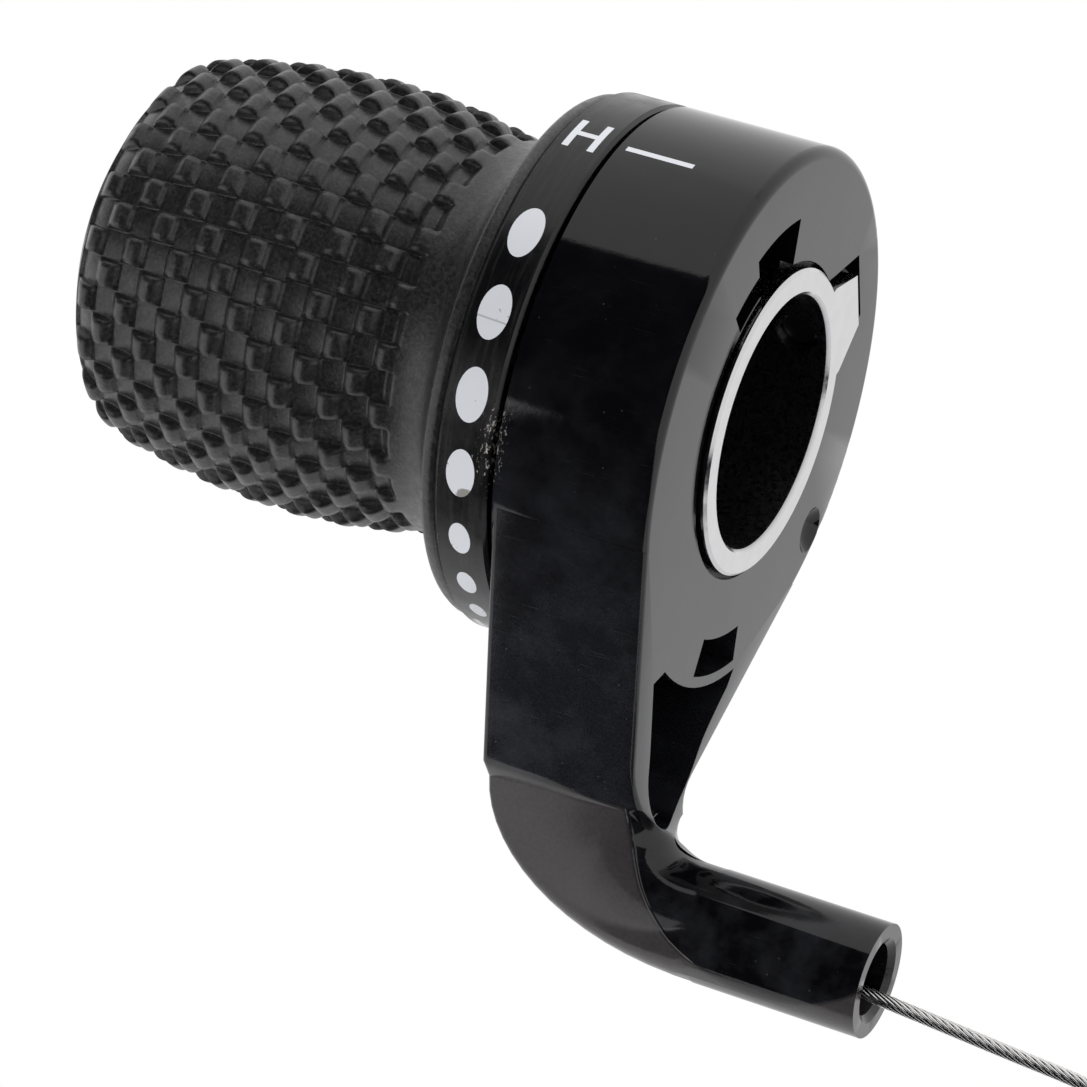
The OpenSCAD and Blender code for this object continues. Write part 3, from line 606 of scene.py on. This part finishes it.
def smooth_solid(obj):
    modifier = obj.modifiers.new("smoothing", "NODES")
    modifier.node_group = SMOOTHING


def round_edges(obj, width):
    """Small real rounding of the edges sharper than 40 degrees"""
    modifier = obj.modifiers.new("rounding", "BEVEL")
    modifier.width = width * MM
    modifier.segments = 2
    modifier.limit_method = "ANGLE"
    modifier.angle_limit = math.radians(40)


for name, material in FINISH_OF.items():
    finish(nodes[name], material)
    smooth_solid(nodes[name])
round_edges(nodes["housing"], 0.14)
finish(wire, WIRE)
finish(cap, ALLOY)


# Woven rubber grip: places along it are in X, and the strips run round it side by side

WEAVE_X1 = DIAL_X0 - COLLAR
WEAVE_X0 = GRIP_X0 + WEAVE_END
WEAVE_PITCH = (WEAVE_X1 - WEAVE_X0) / RIDGES
WEAVE_STEPS = 186
# Length over which the weave rises out of the collar
WEAVE_FADE = 1.3
# Where the grip is thickest, as a share of its length from the collar
BULGE_AT = 0.42
# Places across a strip as shares of its width, its half flat top and the wall beside it
ACROSS = np.array([-0.5, -0.475, -0.45, -0.40, -0.22, 0.0, 0.22, 0.40, 0.45, 0.475])
FLAT_TOP = 0.40
WALL = 0.095
# Lip beside the dial ring and the slope down from it: how far back from the ring, and the radius there
LIP = ((0.0, CORE_R + 1.0), (0.0, LIP_R - 0.55), (0.08, LIP_R - 0.25), (0.3, LIP_R - 0.03), (0.6, LIP_R),
       (1.1, LIP_R - 0.04), (1.45, LIP_R - 0.25), (1.62, LIP_R - 0.6), (1.8, LIP_R - 1.2),
       (2.1, LIP_R - 1.95), (2.45, WAIST_R + 2.75), (2.9, WAIST_R + 1.9), (3.5, WAIST_R + 1.15),
       (4.2, WAIST_R + 0.62), (5.0, WAIST_R + 0.25), (5.8, WAIST_R + 0.04), (6.5, WAIST_R - 0.02))


def ease(t):
    """0 to 1 with level ends"""
    t = np.clip(t, 0, 1)
    return t * t * (3 - 2 * t)


def bulge(x):
    """Radius of the grip's outline, from the collar over the thickest place to the end"""
    u = (WEAVE_X1 - x) / (WEAVE_X1 - GRIP_X0) - BULGE_AT
    k = np.where(u < 0, (GRIP_R - WAIST_R) / BULGE_AT ** 2, (GRIP_R - TAIL_R) / (1 - BULGE_AT) ** 2)
    return GRIP_R - k * u * u


def tail(x):
    """How much the rounded end takes off that radius"""
    past = np.maximum(0, GRIP_X0 + TAIL_ROUND - x)
    return TAIL_ROUND - np.sqrt(np.maximum(0, TAIL_ROUND ** 2 - past * past))


def crest(phase):
    """Height of a strip along its pitch: a narrow rounded crest, then a wide flat low"""
    phase = phase % 1.0
    up = np.sin(np.pi * np.clip((phase + 0.03) / 0.56, 0, 1)) ** 0.75
    over = -0.85 * (1 - up)
    under = -0.88 - 0.10 * np.sin(np.pi * np.clip((phase - 0.5) / 0.5, 0, 1))
    return np.where(phase < 0.5, over, under)


def weave_ring(x):
    """Radius round one ring of the weave, in which every second strip is half a pitch ahead"""
    base = bulge(x) - tail(x)
    phase = (WEAVE_X1 - x) / WEAVE_PITCH
    fade = ease((WEAVE_X1 - x) / WEAVE_FADE)
    heights = (crest(phase), crest(phase + 0.5))
    floor = min(heights)
    wall = ease((np.abs(ACROSS) - FLAT_TOP) / WALL)
    crown = -0.05 * (ACROSS / 0.5) ** 2
    pair = [base + WEAVE_H * fade * (height + crown + (floor - height) * wall) for height in heights]
    return np.tile(np.concatenate(pair), STRIPS // 2)


def grip_mesh():
    """Closed grip: lip, collar, weave, plain end and the bore back to the lip"""
    cols = STRIPS * len(ACROSS)
    turn = (np.repeat(np.arange(STRIPS), len(ACROSS)) + np.tile(ACROSS, STRIPS)) * 2 * math.pi / STRIPS
    rings = []

    def ring(x, r):
        r = np.broadcast_to(r, (cols,))
        rings.append(np.stack([np.full(cols, x), -r * np.sin(turn), r * np.cos(turn)], 1))

    for back, r in LIP:
        ring(DIAL_X0 - back, r)
    for i in range(WEAVE_STEPS + 1):
        x = WEAVE_X1 + (WEAVE_X0 - WEAVE_X1) * i / WEAVE_STEPS
        ring(x, weave_ring(x))
    for share in (0.75, 0.6, 0.45):
        x = GRIP_X0 + share * WEAVE_END
        ring(x, max(float(bulge(x) - tail(x)) - 0.4, CORE_R + 0.05))
    for x in (GRIP_X0 + 0.42 * WEAVE_END, DIAL_X0 - 0.05):
        ring(x, CORE_R + 0.02)
    faces = grid_faces(len(rings), cols, wrap_rows=True)
    return np.concatenate(rings), [face[::-1] for face in faces]


def make_grip():
    grip = mesh_object("woven_rubber", *grip_mesh())
    finish(grip, RUBBER)
    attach(grip, "grip")
    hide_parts("rubber_grip")


make_grip()


# Studio: floor and card in millimetres, lamps in metres and watts

WHITE = (1.0, 1.0, 1.0, 1.0)
FLOOR_Z = -230
FLOOR_HALF = 600
CARD_R = 650
CARD_X1 = 520
LAMP_AIM = Vector((-0.02, 0, 0))


def make_world():
    """White where the camera or a reflection sees it, and a light grey for the light that it gives"""
    world = bpy.data.worlds.new("studio")
    bpy.context.scene.world = world
    world.use_nodes = True
    tree = world.node_tree
    path = tree.nodes.new("ShaderNodeLightPath")
    seen = path.outputs["Is Camera Ray"]
    for ray in ("Is Glossy Ray", "Is Transmission Ray"):
        either = tree.nodes.new("ShaderNodeMath")
        either.operation = "MAXIMUM"
        tree.links.new(seen, either.inputs[0])
        tree.links.new(path.outputs[ray], either.inputs[1])
        seen = either.outputs[0]
    mix = tree.nodes.new("ShaderNodeMix")
    mix.data_type = "RGBA"
    tree.links.new(seen, mix.inputs["Factor"])
    mix.inputs["A"].default_value = (0.56, 0.56, 0.57, 1)
    mix.inputs["B"].default_value = WHITE
    back = tree.nodes["Background"]
    tree.links.new(mix.outputs["Result"], back.inputs["Color"])
    back.inputs["Strength"].default_value = 1.0


def flat_material(name, color):
    """Matt colour without reflections"""
    material = bpy.data.materials.new(name)
    material.use_nodes = True
    shader = material.node_tree.nodes["Principled BSDF"]
    shader.inputs["Base Color"].default_value = (*color, 1)
    shader.inputs["Roughness"].default_value = 0.9
    shader.inputs["Specular IOR Level"].default_value = 0.0
    return material


def make_floor():
    corners = [[x * FLOOR_HALF, y * FLOOR_HALF, FLOOR_Z] for x, y in ((-1, -1), (1, -1), (1, 1), (-1, 1))]
    floor = mesh_object("floor", corners, [(0, 1, 2, 3)], False)
    floor.data.materials.append(flat_material("floor_white", (0.9, 0.9, 0.9)))


def make_card():
    """Black card round the camera's side and over the floor, and one past the grip, seen in reflections"""
    points = []
    for degrees, x0 in ((np.linspace(41.9, 96, 13), -900), (np.linspace(97, 109, 4), -292)):
        for t in np.radians(degrees):
            y = -CARD_R * math.sin(t)
            z = CARD_R * math.cos(t)
            points += [[x0, y, z], [CARD_X1, y, z]]
    for y, x0 in ((-600, -250), (-300, -180), (-100, -130), (-20, -100)):
        points += [[x0, y, FLOOR_Z + 3], [CARD_X1, y, FLOOR_Z + 3]]
    n = len(points)
    faces = [(k, k + 1, k + 3, k + 2) for k in range(0, n - 2, 2)]
    points += [[-500, y, z] for y, z in ((-650, 480), (-20, 480), (-20, -60), (-650, -60))]
    faces.append((n, n + 1, n + 2, n + 3))
    card = mesh_object("black_card", points, faces, False)
    card.data.materials.append(flat_material("card_black", (0.01, 0.01, 0.012)))
    card.visible_camera = False
    card.visible_diffuse = False
    card.visible_shadow = False


def lamp(name, place, size, power):
    """Area lamp aimed at the shifter, which gives light but isn't seen"""
    data = bpy.data.lights.new(name, "AREA")
    data.shape = "RECTANGLE"
    data.size, data.size_y = size
    data.energy = power
    obj = link(bpy.data.objects.new(name, data))
    obj.location = place
    obj.rotation_mode = "QUATERNION"
    obj.rotation_quaternion = (Vector(place) - LAMP_AIM).to_track_quat("Z", "Y")
    obj.visible_glossy = False
    obj.visible_camera = False


make_world()
make_floor()
make_card()
lamp("key", (-0.12, 0.1, 0.75), (0.5, 0.5), 5.0)
lamp("fill", (-0.35, -0.6, -0.16), (0.5, 0.4), 2.0)

bpy.context.scene.view_settings.view_transform = "Standard"
